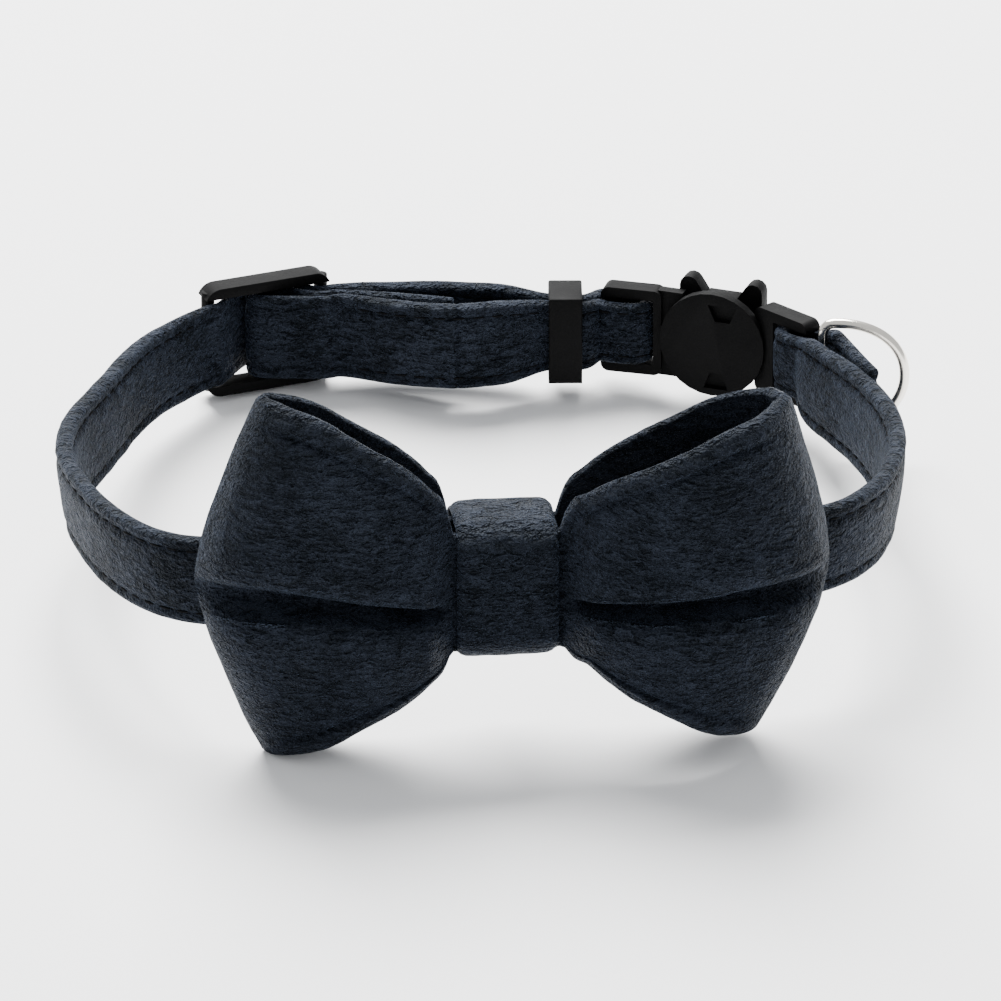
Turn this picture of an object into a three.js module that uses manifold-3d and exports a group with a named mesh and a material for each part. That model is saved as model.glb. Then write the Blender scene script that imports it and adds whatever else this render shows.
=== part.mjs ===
// A bow tie collar for a small pet: a velvet strap loop with a pinched bow, a three-bar slider,
// a keeper, a breakaway buckle with a cat's head outline and a wire ring.
// Millimetres, +Z up. The collar lies on a table as it would by itself: it stands on the bow's
// lower corners in front and on its plastic fittings behind, so the loop leans a little.
import * as THREE from 'three';
import Module from 'manifold-3d';
import { mergeVertices } from 'three/addons/utils/BufferGeometryUtils.js';

const wasm = await Module();
wasm.setup();

// Neck loop, along the middle of the strap.
const LOOP_WIDTH = 94.6;
const LOOP_DEPTH = 70;

// Velvet strap. It is squeezed flat inside the slider, and the keeper and the buckle pinch it
// to a smaller width.
const STRAP_WIDTH = 10.6;
const STRAP_THICK = 2.4;
const STRAP_IN_FOLD = 1.8;
const STRAP_IN_SLIDER = 1.2;
const STRAP_LEAN = 1.3;

// Clearances.
const GAP = 0.3;
const STRAP_PLAY = 0.3;

// Slider.
const SLIDER_LENGTH = 16;
const SLIDER_BAR = 1.6;
const SLIDER_RAIL = 1.3;
const SLIDER_THICK = 2.8;
const SLIDER_CORNER = 2;

// Keeper, outside sizes.
const KEEPER_LENGTH = 4;
const KEEPER_HEIGHT = 10.9;
const KEEPER_WALL = 0.8;
const KEEPER_AWAY = 3.8;
const KEEPER_INSET = 3.3;
const KEEPER_TURN = 15;

// Breakaway buckle.
const DISC_RADIUS = 6.5;
const DISC_THICK = 1.2;
const CATCH_DEPTH = 0.7;
const HEAD_WIDTH = 12.4;
const HEAD_HEIGHT = 10.6;
const HEAD_THICK = 2;
const EAR_RADIUS = 1.15;
const EAR_HEIGHT = 1.7;
const EAR_SPACING = 8;
const TONGUE_THICK = 1.4;
const TONGUE_HEIGHT = 6.6;
const TONGUE_REACH = 8.6;
const ARM_HEIGHT = 10.8;
const ARM_RAIL = 1.3;
const ARM_CORNER = 1;
const ARM_BAR = 1.4;
const ARM_THICK = 2.4;
const PLUG_ARM = 7.4;
const PLUG_BODY = 1;
const PLUG_BAR_WIDTH = 2.4;
const PLUG_SHOULDER = 2.6;
const PLUG_TURN = 5.5;
const HEAD_ARM = 8.4;
const HEAD_BODY = 3;
const HEAD_ROOT = 1;
const HEAD_TURN = -25.5;
const FOLD_SLACK = 1.5;

// Ring in the tail of the strap.
const RING_HEIGHT = 14.4;
const RING_REACH = 9.6;
const RING_WIRE = 1.2;
const RING_CORNER = 1.4;
const RING_ANGLE = -6;

// Bow and its band.
const BOW_WALL = 1.5;
const BOW_PINCH = 6.2;
const BOW_LIFT = 2.4;
const PLEAT_DEPTH = 3.4;
const PLEAT_DROP = 0.13;
const LEFT_WING = { reach: 35.2, height: 43.4, depth: 5, topCut: 7.1, lowCut: 7.5, tuck: 0 };
const RIGHT_WING = { reach: 37.1, height: 39.8, depth: 10, topCut: 4.7, lowCut: 7.8, tuck: 1.9 };
const KNOT_WIDTH = 11.6;
const KNOT_HEIGHT = 17;
const KNOT_WALL = 1.3;
const KNOT_DROP = 1.1;

const rad = THREE.MathUtils.degToRad;
const lerp = THREE.MathUtils.lerp;
const strapMiddle = STRAP_WIDTH / 2;
const sliderWindow = STRAP_WIDTH + 2 * STRAP_PLAY;
const sliderHeight = sliderWindow + 2 * SLIDER_RAIL;
const keeperWindow = KEEPER_HEIGHT - 2 * KEEPER_WALL;
const armWindow = ARM_HEIGHT - 2 * ARM_RAIL;
const inKeeper = keeperWindow - 2 * STRAP_PLAY;
const inBuckle = armWindow - 2 * STRAP_PLAY;
const halfLoop = LOOP_WIDTH / 2;
const halfDepth = LOOP_DEPTH / 2;

// A value between the rows of a table: column 0 is the share along, another column the value.
function fromTable(rows, column, share) {
  let i = 1;
  while (i < rows.length - 1 && rows[i][0] < share) {
    i += 1;
  }
  const [low, high] = [rows[i - 1], rows[i]];
  const part = THREE.MathUtils.clamp((share - low[0]) / (high[0] - low[0]), 0, 1);
  return lerp(low[column], high[column], part);
}

// A closed skin over rings of points. A loop joins the last ring to the first, otherwise the
// first and the last ring are capped.
function skin(rings, loop) {
  const count = rings[0].length;
  const index = [];
  const spans = loop ? rings.length : rings.length - 1;
  for (let i = 0; i < spans; i += 1) {
    const here = i * count;
    const next = ((i + 1) % rings.length) * count;
    for (let j = 0; j < count; j += 1) {
      const k = (j + 1) % count;
      index.push(here + j, next + j, next + k, here + j, next + k, here + k);
    }
  }
  if (!loop) {
    const last = (rings.length - 1) * count;
    for (let j = 1; j < count - 1; j += 1) {
      index.push(0, j, j + 1, last, last + j + 1, last + j);
    }
  }
  const points = rings.flat();
  let volume = 0;
  for (let i = 0; i < index.length; i += 3) {
    const [a, b, c] = [points[index[i]], points[index[i + 1]], points[index[i + 2]]];
    volume += a.dot(b.clone().cross(c));
  }
  if (volume < 0) {
    index.reverse();
  }
  const geometry = new THREE.BufferGeometry().setFromPoints(points);
  geometry.setIndex(index);
  return geometry;
}

// Joins and cuts of closed solids.
function toSolid(geometry) {
  const bare = geometry.clone();
  bare.deleteAttribute('normal');
  bare.deleteAttribute('uv');
  const merged = mergeVertices(bare, 1e-4);
  const vertProperties = new Float32Array(merged.attributes.position.array);
  const triVerts = new Uint32Array(merged.index.array);
  return new wasm.Manifold(new wasm.Mesh({ numProp: 3, vertProperties, triVerts }));
}

function toGeometry(solid) {
  const mesh = solid.getMesh();
  const geometry = new THREE.BufferGeometry();
  geometry.setAttribute('position', new THREE.BufferAttribute(new Float32Array(mesh.vertProperties), 3));
  geometry.setIndex(new THREE.BufferAttribute(new Uint32Array(mesh.triVerts), 1));
  return geometry;
}

function join(geometries, cuts = []) {
  let solid = toSolid(geometries[0]);
  for (const more of geometries.slice(1)) {
    solid = solid.add(toSolid(more));
  }
  for (const cut of cuts) {
    solid = solid.subtract(toSolid(cut));
  }
  return toGeometry(solid);
}

// A flat plate drawn as seen from inside the loop, x along the strap and y up, from one
// depth to another, outward from the neck.
function plate(outline, inner, outer) {
  const geometry = new THREE.ExtrudeGeometry(outline, {
    depth: outer - inner, bevelEnabled: false, curveSegments: 5,
  });
  return geometry.rotateX(Math.PI / 2).translate(0, outer, 0);
}

function block(x0, x1, y0, y1, z0, z1) {
  const geometry = new THREE.BoxGeometry(x1 - x0, y1 - y0, z1 - z0);
  return geometry.translate((x0 + x1) / 2, (y0 + y1) / 2, (z0 + z1) / 2);
}

function roundBar(x, radius, height) {
  const geometry = new THREE.CylinderGeometry(radius, radius, height, 10);
  return geometry.rotateX(Math.PI / 2).translate(x, 0, 0);
}

function roundedOutline(x0, x1, y0, y1, r) {
  const outline = new THREE.Shape();
  outline.moveTo(x0 + r, y0);
  outline.lineTo(x1 - r, y0);
  outline.absarc(x1 - r, y0 + r, r, -Math.PI / 2, 0, false);
  outline.lineTo(x1, y1 - r);
  outline.absarc(x1 - r, y1 - r, r, 0, Math.PI / 2, false);
  outline.lineTo(x0 + r, y1);
  outline.absarc(x0 + r, y1 - r, r, Math.PI / 2, Math.PI, false);
  outline.lineTo(x0, y0 + r);
  outline.absarc(x0 + r, y0 + r, r, Math.PI, 1.5 * Math.PI, false);
  return outline;
}

// A station is a place on the loop, seen from above, with its heading along the strap.
// Its place can be asked for in steps along the strap and outward from the neck.
function station(x, y, heading) {
  const along = new THREE.Vector2(Math.cos(rad(heading)), Math.sin(rad(heading)));
  const outward = new THREE.Vector2(-along.y, along.x);
  const at = (a, o) => new THREE.Vector2(x, y).addScaledVector(along, a).addScaledVector(outward, o);
  return { x, y, heading, at };
}

const slide = station(-0.422 * halfLoop, 1.02 * halfDepth, 16.5);
const head = station(0.7012 * halfLoop, 0.7843 * halfDepth, -26.5);
const tunnel = station(0.893 * halfLoop, 0.405 * halfDepth, -60);
const plugRoot = head.at(-DISC_RADIUS - GAP, 0);
const plugArm = station(plugRoot.x, plugRoot.y, head.heading + PLUG_TURN);
const keepPlace = plugArm.at(-PLUG_ARM - KEEPER_AWAY, -KEEPER_INSET);
const keep = station(keepPlace.x, keepPlace.y, plugArm.heading + KEEPER_TURN);
const headRoot = head.at(DISC_RADIUS - HEAD_ROOT, 0);
const headArm = station(headRoot.x, headRoot.y, head.heading + HEAD_TURN);

// Distances from the middle of a bar to the middles of the strap layers that lie on it.
const barRadius = SLIDER_BAR / 2;
const layerStep = STRAP_IN_SLIDER + STRAP_PLAY;
const firstLayer = barRadius + STRAP_PLAY + STRAP_IN_SLIDER / 2;
const barPitch = SLIDER_LENGTH / 2 - barRadius;
const armBar = ARM_BAR / 2;
const foldRadius = armBar + STRAP_PLAY + STRAP_IN_FOLD / 2;
const keeperLayer = (STRAP_IN_FOLD + GAP) / 2;
const ringBar = RING_WIRE / 2 + STRAP_PLAY + STRAP_IN_FOLD / 2;
const ringOut = STRAP_THICK / 2 + GAP + RING_WIRE / 2;

// Route of the strap, seen from above. A stop has its place, its thickness, its width and its
// lean.
function stop(place, thick = STRAP_THICK, wide = STRAP_WIDTH, lean = 0) {
  return { place, thick, wide, lean };
}

// Stops on an arc about a point of a station, between two directions in degrees: 0 is along
// the strap and 90 is outward.
function arc(base, a, o, radius, from, to, count, thick, wide) {
  const stops = [];
  for (let i = 0; i < count; i += 1) {
    const turn = rad(lerp(from, to, i / (count - 1)));
    const place = base.at(a + radius * Math.cos(turn), o + radius * Math.sin(turn));
    stops.push(stop(place, thick, wide));
  }
  return stops;
}

// Share columns: x of half the loop's width, y of half its depth, share of the full lean.
const LEFT_SIDE = [
  [-0.74, 0.66, 0.2],
  [-0.865, 0.31, 0.6],
  [-0.955, 0.03, 1],
  [-0.988, -0.22, 1],
  [-0.966, -0.46, 0.9],
  [-0.905, -0.73, 0.6],
  [-0.815, -0.92, 0.3],
  [-0.72, -0.995, 0],
  [-0.6, -1.015, 0],
  [-0.2, -1.015, 0],
];
const RIGHT_SIDE = [
  [0.2, -1.015, 0],
  [0.6, -1.015, 0],
  [0.72, -1.0, 0],
  [0.8, -0.965, 0.2],
  [0.88, -0.88, 0.4],
  [0.95, -0.735, 0.7],
  [1.006, -0.5, 1],
  [1.021, -0.23, 1],
  [0.995, 0.0, 1],
  [0.974, 0.1, 0.9],
  [0.95, 0.19, 0.8],
];

function sideStops(rows) {
  return rows.map(([x, y, lean]) => {
    const place = new THREE.Vector2(x * halfLoop, y * halfDepth);
    return stop(place, STRAP_THICK, STRAP_WIDTH, lean * STRAP_LEAN);
  });
}

// Share columns of the two layers between the slider and the keeper, from the slider's right
// end at 0 to the keeper at 1: share of the way, outward from the straight line between them.
const INNER_BACK = [
  [0.3, -2.2],
  [0.55, -3.2],
  [0.8, -2],
];
const OUTER_BACK = [
  [0.2, 0.8],
  [0.5, 1.2],
  [0.8, 0.7],
];

function backStops(from, to, rows) {
  const way = new THREE.Vector2().subVectors(to, from);
  const outward = new THREE.Vector2(-way.y, way.x).normalize();
  return rows.map(([share, bow]) => {
    return stop(from.clone().addScaledVector(way, share).addScaledVector(outward, bow));
  });
}

// A stop of a folded layer beside stop number i of a row of stops. It lies on the outer side
// where side is -1, on the inner side where side is 1.
function beside(stops, i, side, thick) {
  const before = stops[i - 1].place;
  const after = stops[i + 1].place;
  const way = new THREE.Vector2().subVectors(after, before).normalize();
  const outward = new THREE.Vector2(-way.y, way.x);
  const distance = STRAP_THICK / 2 + STRAP_PLAY + thick / 2;
  const place = stops[i].place.clone().addScaledVector(outward, side * distance);
  return stop(place, thick, stops[i].wide, stops[i].lean);
}

function strapRoute() {
  const thin = STRAP_IN_SLIDER;
  const snug = STRAP_IN_FOLD;
  const second = firstLayer + layerStep;
  const third = second + layerStep;
  const degrees = THREE.MathUtils.radToDeg;
  const crossing = degrees(Math.asin((firstLayer + second) / barPitch));
  const settling = degrees(Math.asin((third - firstLayer) / barPitch));

  // Inner layer, from the middle bar of the slider to the keeper.
  const innerStart = arc(slide, barPitch, 0, third, 270 - settling, 276, 3, thin);
  const keepHalf = KEEPER_LENGTH / 2 + STRAP_PLAY;
  const keepIn = keep.at(-keepHalf, -keeperLayer);
  const inner = [...innerStart, ...backStops(innerStart[2].place, keepIn, INNER_BACK)];

  // Sewn end, which lies on the inner layer and turns round the middle bar.
  const sewn = [
    beside(inner, 4, 1, thin),
    beside(inner, 3, 1, snug),
    ...arc(slide, barPitch, 0, second, -84, -90 - crossing, 4, thin),
    ...arc(slide, 0, 0, firstLayer, 90 - crossing, 270 - settling, 7, thin),
  ];

  // Keeper, and round the bar of the plug.
  const barStart = -PLUG_ARM + armBar;
  const barEnd = -PLUG_ARM + PLUG_BAR_WIDTH;
  const toPlug = [
    stop(keepIn, snug, inKeeper),
    stop(keep.at(keepHalf, -keeperLayer), snug, inKeeper),
    ...arc(plugArm, barStart, 0, foldRadius, -115, -90, 2, snug, inBuckle),
    ...arc(plugArm, barEnd - armBar + FOLD_SLACK, 0, foldRadius, -90, 90, 7, snug, inBuckle),
    ...arc(plugArm, barStart, 0, foldRadius, 90, 135, 3, snug, inBuckle),
    stop(keep.at(keepHalf, keeperLayer), snug, inKeeper),
    stop(keep.at(-keepHalf, keeperLayer), snug, inKeeper),
  ];

  // Outer layer back to the slider, and through it.
  const slideIn = arc(slide, barPitch, 0, firstLayer, -70, -90 - crossing, 4, thin);
  const keepOut = keep.at(-keepHalf, keeperLayer);
  const outer = backStops(slideIn[0].place, keepOut, OUTER_BACK).reverse();
  const weave = [
    ...slideIn,
    ...arc(slide, 0, 0, second, 90 - crossing, 90 + crossing, 5, thin),
    ...arc(slide, -barPitch, 0, firstLayer, crossing - 90, -100, 4, thin),
  ];

  // Round the neck behind the bow, and round the bar of the head.
  const toTunnel = [...sideStops(LEFT_SIDE), ...sideStops(RIGHT_SIDE), stop(tunnel.at(0, 0))];
  const headBar = HEAD_ARM - armBar;
  const toHead = [
    stop(headArm.at(HEAD_ARM, -foldRadius), snug, inBuckle),
    ...arc(headArm, headBar - FOLD_SLACK, 0, foldRadius, 270, 90, 7, snug, inBuckle),
    stop(headArm.at(HEAD_ARM, foldRadius), snug, inBuckle),
  ];

  // Tail over the ring's bar, sewn down on the strap.
  const last = toTunnel.length - 1;
  const tail = [
    ...arc(tunnel, 0, ringOut, ringBar, 120, 60, 3, snug),
    beside(toTunnel, last - 1, -1, snug),
    beside(toTunnel, last - 2, -1, thin),
  ];
  return [...sewn, ...inner, ...toPlug, ...outer, ...weave, ...toTunnel, ...toHead, ...tail];
}

// Section of the strap: a flat padded band with soft edges. Shares of its half thickness and
// half width.
const STRAP_SECTION = [
  [1, 0.86], [0.76, 0.96], [0, 1], [-0.76, 0.96], [-1, 0.86],
  [-1, -0.86], [-0.76, -0.96], [0, -1], [0.76, -0.96], [1, -0.86],
];
const STRAP_STEP = 3.2;

function strapShape() {
  const stops = strapRoute();
  const curve = new THREE.CatmullRomCurve3(
    stops.map(({ place }) => new THREE.Vector3(place.x, place.y, 0)), false, 'centripetal',
  );
  const rings = [];
  for (let i = 0; i < stops.length - 1; i += 1) {
    const [from, to] = [stops[i], stops[i + 1]];
    const steps = Math.max(1, Math.round(from.place.distanceTo(to.place) / STRAP_STEP));
    const count = i === stops.length - 2 ? steps + 1 : steps;
    for (let k = 0; k < count; k += 1) {
      const part = k / steps;
      const t = Math.min((i + part) / (stops.length - 1), 1);
      const middle = curve.getPoint(t);
      const way = curve.getTangent(t);
      const across = new THREE.Vector3(way.y, -way.x, 0).normalize();
      const outward = middle.clone().setZ(0).normalize();
      const thick = lerp(from.thick, to.thick, part);
      const wide = lerp(from.wide, to.wide, part);
      const lean = lerp(from.lean, to.lean, part);
      rings.push(STRAP_SECTION.map(([side, up]) => {
        return middle.clone()
          .addScaledVector(across, side * thick / 2)
          .addScaledVector(outward, up * lean / 2)
          .setZ(strapMiddle + up * wide / 2);
      }));
    }
  }
  return skin(rings, false);
}

// Slider: two rails joined by three round bars.
function sliderShape() {
  const half = SLIDER_LENGTH / 2;
  const [tall, low] = [sliderHeight / 2, -sliderHeight / 2];
  const outline = roundedOutline(-half, half, low, tall, SLIDER_CORNER);
  const window = block(
    -SLIDER_LENGTH, SLIDER_LENGTH, -SLIDER_THICK, SLIDER_THICK, -sliderWindow / 2, sliderWindow / 2,
  );
  const frame = join([plate(outline, -SLIDER_THICK / 2, SLIDER_THICK / 2)], [window]);
  const barHeight = sliderWindow + SLIDER_RAIL;
  const bars = [-barPitch, 0, barPitch].map((x) => roundBar(x, barRadius, barHeight));
  return join([frame, ...bars]);
}

// Keeper: a plain rectangular loop round the two layers.
const keeperSpace = keeperLayer + STRAP_IN_FOLD / 2 + STRAP_PLAY;

function keeperShape() {
  const half = KEEPER_LENGTH / 2;
  const tall = KEEPER_HEIGHT / 2;
  const deep = keeperSpace + KEEPER_WALL;
  const outer = block(-half, half, -deep, deep, -tall, tall);
  const inside = block(
    -KEEPER_LENGTH, KEEPER_LENGTH, -keeperSpace, keeperSpace, -keeperWindow / 2, keeperWindow / 2,
  );
  return join([outer], [inside]);
}

// The arm of a buckle half, from its root at x = 0 towards one side: a body, two rails and a
// flat bar with round edges at the far end.
function armShape(length, side, body, barWidth) {
  const [start, end] = side < 0 ? [-length, 0] : [0, length];
  const outline = roundedOutline(start, end, -ARM_HEIGHT / 2, ARM_HEIGHT / 2, ARM_CORNER);
  const [left, right] = side < 0 ? [-2 * length, -body] : [body, 2 * length];
  const opening = block(left, right, -ARM_THICK, ARM_THICK, -armWindow / 2, armWindow / 2);
  const frame = join([plate(outline, -ARM_THICK / 2, ARM_THICK / 2)], [opening]);
  const barHeight = armWindow + ARM_RAIL;
  const near = side * (length - barWidth + armBar);
  const far = side * (length - armBar);
  const bar = [roundBar(near, armBar, barHeight), roundBar(far, armBar, barHeight)];
  if (barWidth > ARM_BAR) {
    const [x0, x1] = side < 0 ? [far, near] : [near, far];
    bar.push(block(x0, x1, -armBar, armBar, -barHeight / 2, barHeight / 2));
  }
  return join([frame, ...bar]);
}

// Moves a geometry from the frame of an arm into the frame of the head.
function fromArm(geometry, arm) {
  const turn = rad(arm.heading - head.heading);
  const shift = new THREE.Vector2(arm.x - head.x, arm.y - head.y);
  shift.rotateAround(new THREE.Vector2(), -rad(head.heading));
  return geometry.rotateZ(turn).translate(shift.x, shift.y, 0);
}

// Depths in the head, outward from the neck: disc, tongue, head plate.
const tongueInner = -TONGUE_THICK / 2;
const tongueOuter = TONGUE_THICK / 2;
const discOuter = tongueInner - GAP;
const discInner = discOuter - DISC_THICK;
const headInner = tongueOuter + GAP;
const headOuter = headInner + HEAD_THICK;

function headOutline() {
  const outline = new THREE.Shape();
  outline.absellipse(0, 0, HEAD_WIDTH / 2, HEAD_HEIGHT / 2, 0, 2 * Math.PI, false, 0);
  return outline;
}

// An ear stands upright on its outer side and slopes down to the head on its inner side.
function earShape(side) {
  const top = HEAD_HEIGHT / 2 + EAR_HEIGHT - EAR_RADIUS;
  const tip = side * EAR_SPACING / 2;
  const ear = new THREE.Shape();
  ear.moveTo(tip - side * 3 * EAR_RADIUS, HEAD_HEIGHT / 4);
  ear.lineTo(tip + side * EAR_RADIUS, HEAD_HEIGHT / 4);
  ear.lineTo(tip + side * EAR_RADIUS, top);
  for (const turn of [30, 60, 90, 120, 145]) {
    const [across, up] = [Math.cos(rad(turn)), Math.sin(rad(turn))];
    ear.lineTo(tip + side * EAR_RADIUS * across, top + EAR_RADIUS * up);
  }
  return plate(ear, headInner, headOuter);
}

// Catch pockets in the disc, short wedges with the wide side towards the rim. Columns, as
// shares of the disc's radius: middle, half the wide side, height of the wide and narrow sides.
const CATCHES = [
  [0.2, 0.28, 0.78, 0.47],
  [0.08, 0.23, -0.86, -0.55],
];

function catchShape([middle, half, wide, narrow]) {
  const wedge = new THREE.Shape();
  wedge.moveTo((middle - half) * DISC_RADIUS, wide * DISC_RADIUS);
  wedge.lineTo((middle + half) * DISC_RADIUS, wide * DISC_RADIUS);
  wedge.lineTo((middle + half / 2) * DISC_RADIUS, narrow * DISC_RADIUS);
  wedge.lineTo((middle - half / 2) * DISC_RADIUS, narrow * DISC_RADIUS);
  return plate(wedge, discInner - GAP, discInner + CATCH_DEPTH);
}

// The tongue of the plug ends where the web between the disc and the head plate begins.
const webStart = TONGUE_REACH - HEAD_WIDTH / 2;

function headShape() {
  const disc = new THREE.CylinderGeometry(DISC_RADIUS, DISC_RADIUS, DISC_THICK, 28)
    .translate(0, (discInner + discOuter) / 2, 0);
  const web = block(
    webStart, DISC_RADIUS - HEAD_ROOT / 2, discOuter - DISC_THICK / 4, headInner + HEAD_THICK / 4,
    -TONGUE_HEIGHT / 2, TONGUE_HEIGHT / 2,
  );
  const arm = fromArm(armShape(HEAD_ARM, 1, HEAD_BODY, ARM_BAR), headArm);
  return join(
    [plate(headOutline(), headInner, headOuter), earShape(-1), earShape(1), web, disc, arm],
    CATCHES.map(catchShape),
  );
}

// The plug's shoulder is as tall as its arm and goes in between the disc and the head plate.
function plugShape() {
  const root = -DISC_RADIUS - GAP;
  const tall = ARM_HEIGHT / 2;
  const shoulder = block(
    root - PLUG_BODY / 2, root + PLUG_SHOULDER, tongueInner, tongueOuter, -tall, tall,
  );
  const tongue = block(
    root, webStart - GAP, tongueInner, tongueOuter, -TONGUE_HEIGHT / 2 + GAP, TONGUE_HEIGHT / 2 - GAP,
  );
  const arm = fromArm(armShape(PLUG_ARM, -1, PLUG_BODY, PLUG_BAR_WIDTH), plugArm);
  return join([arm, shoulder, tongue]);
}

// Ring: a D of round wire, its straight side along the fold of the tail.
class RingCurve extends THREE.Curve {
  constructor() {
    super();
    const high = (RING_HEIGHT - RING_WIRE) / 2;
    const path = new THREE.Shape();
    path.moveTo(0, 0);
    path.lineTo(0, high - RING_CORNER);
    path.quadraticCurveTo(0, high, RING_CORNER, high);
    path.bezierCurveTo(0.65 * RING_REACH, high, RING_REACH, high * 0.6, RING_REACH, 0);
    path.bezierCurveTo(RING_REACH, -high * 0.6, 0.65 * RING_REACH, -high, RING_CORNER, -high);
    path.quadraticCurveTo(0, -high, 0, RING_CORNER - high);
    path.lineTo(0, 0);
    this.path = path;
  }

  getPoint(t, target = new THREE.Vector3()) {
    const flat = this.path.getPoint(t);
    return target.set(flat.x, 0, flat.y);
  }
}

function ringShape() {
  return new THREE.TubeGeometry(new RingCurve(), 36, RING_WIRE / 2, 8, true);
}

// Band round the middle of the bow and the strap.
const strapFront = LEFT_SIDE[LEFT_SIDE.length - 1][1] * halfDepth - STRAP_THICK / 2;
const bowBack = strapFront - GAP;
const bandLow = -GAP - KNOT_DROP - KNOT_WALL;
const bandMiddle = bandLow + KNOT_HEIGHT / 2;
const bandSpaceFront = bowBack - BOW_PINCH - GAP;
const bandSpaceBack = strapFront + STRAP_THICK + GAP;

function knotShape() {
  const y0 = bandSpaceFront;
  const y1 = bandSpaceBack;
  const z1 = bandLow + KNOT_HEIGHT;
  const wall = KNOT_WALL;
  const band = roundedOutline(y0 - wall, y1 + wall, bandLow, z1, 2 * wall);
  const hole = roundedOutline(y0, y1, bandLow + wall, z1 - wall, wall / 2);
  band.holes.push(hole);
  const geometry = new THREE.ExtrudeGeometry(band, {
    depth: KNOT_WIDTH, bevelEnabled: false, curveSegments: 4,
  });
  return geometry.rotateX(Math.PI / 2).rotateZ(Math.PI / 2).translate(-KNOT_WIDTH / 2, 0, 0);
}

// Bow: one loop of cloth. Share columns of a wing from the knot to the fold at its end: the
// swell of the front, the swell of the back and the growth of the height.
const WING = [
  [0, 0, 0, 0],
  [0.05, 0.1, 0, 0.2],
  [0.12, 0.26, 0, 0.31],
  [0.2, 0.45, 0, 0.42],
  [0.3, 0.68, 0, 0.53],
  [0.42, 0.86, 0, 0.635],
  [0.55, 0.97, 0, 0.745],
  [0.68, 1, 0, 0.86],
  [0.8, 0.95, 0.02, 0.93],
  [0.9, 0.82, 0.08, 0.965],
  [0.965, 0.64, 0.22, 0.99],
  [1, 0.45, 0.45, 1],
];
// Pleat across the front: share of the height from the lower edge, share of the pleat's depth.
const PLEAT = [
  [0, 0.35],
  [0.1, 0.6],
  [0.22, 0.85],
  [0.33, 1],
  [0.41, 0.85],
  [0.455, 0.1],
  [0.49, 0],
  [0.525, 0.85],
  [0.56, 1],
  [0.66, 0.95],
  [0.8, 0.8],
  [0.92, 0.55],
  [1, 0.35],
];
// Share of a wing where its front starts to turn round into its back.
const FOLD_START = 0.8;
const bowMiddle = strapMiddle + BOW_LIFT;
const pinchHeight = KNOT_HEIGHT / 2 - KNOT_WALL - GAP;
const wingRoot = KNOT_WIDTH / 2 + GAP;

// One upright section through the cloth of a wing: up its outer side and down its inner side.
function clothSection(side, share, front) {
  const wing = side < 0 ? LEFT_WING : RIGHT_WING;
  const swell = fromTable(WING, 1, share);
  const frontOut = BOW_PINCH * (1 - share) ** 2 + wing.depth * swell;
  const backOut = wing.depth * fromTable(WING, 2, share);
  const growth = fromTable(WING, 3, share);
  const half = lerp(pinchHeight, wing.height / 2, growth);
  const middle = lerp(bandMiddle, bowMiddle, growth ** 0.35);
  const turned = Math.max(0, (share - FOLD_START) / (1 - FOLD_START));
  const fade = Math.min(1, 4 * swell) * Math.sqrt(1 - turned ** 2);
  const outer = [];
  const inner = [];
  for (const [row, bulge] of PLEAT) {
    const v = row - PLEAT_DROP * (1 - share) ** 2 * 4 * row * (1 - row);
    const cut = v > 0.5 ? wing.topCut : wing.lowCut;
    const reach = wing.reach - cut * Math.abs(2 * v - 1) ** 1.4 - wingRoot;
    const tuck = wing.tuck * (1 - share) * Math.min(1, 8 * share) * Math.max(0, 1 - 2 * v);
    const z = middle + (2 * v - 1) * half + tuck;
    const forward = PLEAT_DEPTH * bulge * fade;
    const wall = THREE.MathUtils.clamp((frontOut - backOut) / 2 - 0.15, 0, BOW_WALL);
    const offset = front ? frontOut + forward : backOut;
    const into = front ? -wall : wall;
    outer.push(new THREE.Vector3(side * (wingRoot + share * reach), bowBack - offset, z));
    const innerX = wingRoot + share * (reach - BOW_WALL);
    inner.push(new THREE.Vector3(side * innerX, bowBack - offset - into, z));
  }
  return [...outer, ...inner.reverse()];
}

function bowShape() {
  const shares = WING.map((row) => row[0]);
  const back = shares.slice(0, -1).reverse();
  const rings = [
    ...shares.map((share) => clothSection(1, share, true)),
    ...back.map((share) => clothSection(1, share, false)),
    ...shares.slice(0, -1).map((share) => clothSection(-1, share, false)),
    ...[...shares].reverse().map((share) => clothSection(-1, share, true)),
  ];
  return skin(rings, true);
}

// Colours and finishes.
const velvet = { color: 0x14181f, roughness: 0.95, metalness: 0 };
const plastic = { color: 0x101112, roughness: 0.55, metalness: 0 };
const nickel = { color: 0xb9b4aa, roughness: 0.25, metalness: 1 };

function piece(name, geometry, finish, place) {
  const mesh = new THREE.Mesh(geometry, new THREE.MeshStandardMaterial(finish));
  mesh.name = name;
  if (place) {
    mesh.position.set(place.x, place.y, strapMiddle);
    mesh.rotation.z = rad(place.heading);
  }
  return mesh;
}

const ringPlace = tunnel.at(0, ringOut);
const collar = new THREE.Group();
collar.add(
  piece('strap', strapShape(), velvet),
  piece('bow', bowShape(), velvet),
  piece('bow_knot', knotShape(), velvet),
  piece('slider', sliderShape(), plastic, slide),
  piece('keeper', keeperShape(), plastic, keep),
  piece('buckle_plug', plugShape(), plastic, head),
  piece('buckle_head', headShape(), plastic, head),
  piece('d_ring', ringShape(), nickel, station(ringPlace.x, ringPlace.y, RING_ANGLE)),
);

// At rest the bow's lower edge and the slider's lower edge touch the table.
const bowFoot = bowMiddle - LEFT_WING.height / 2;
const bowFootAt = bowBack - PLEAT_DEPTH;
const sliderFoot = strapMiddle - sliderHeight / 2;
collar.rotation.x = Math.atan2(bowFoot - sliderFoot, slide.y - bowFootAt);

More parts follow.
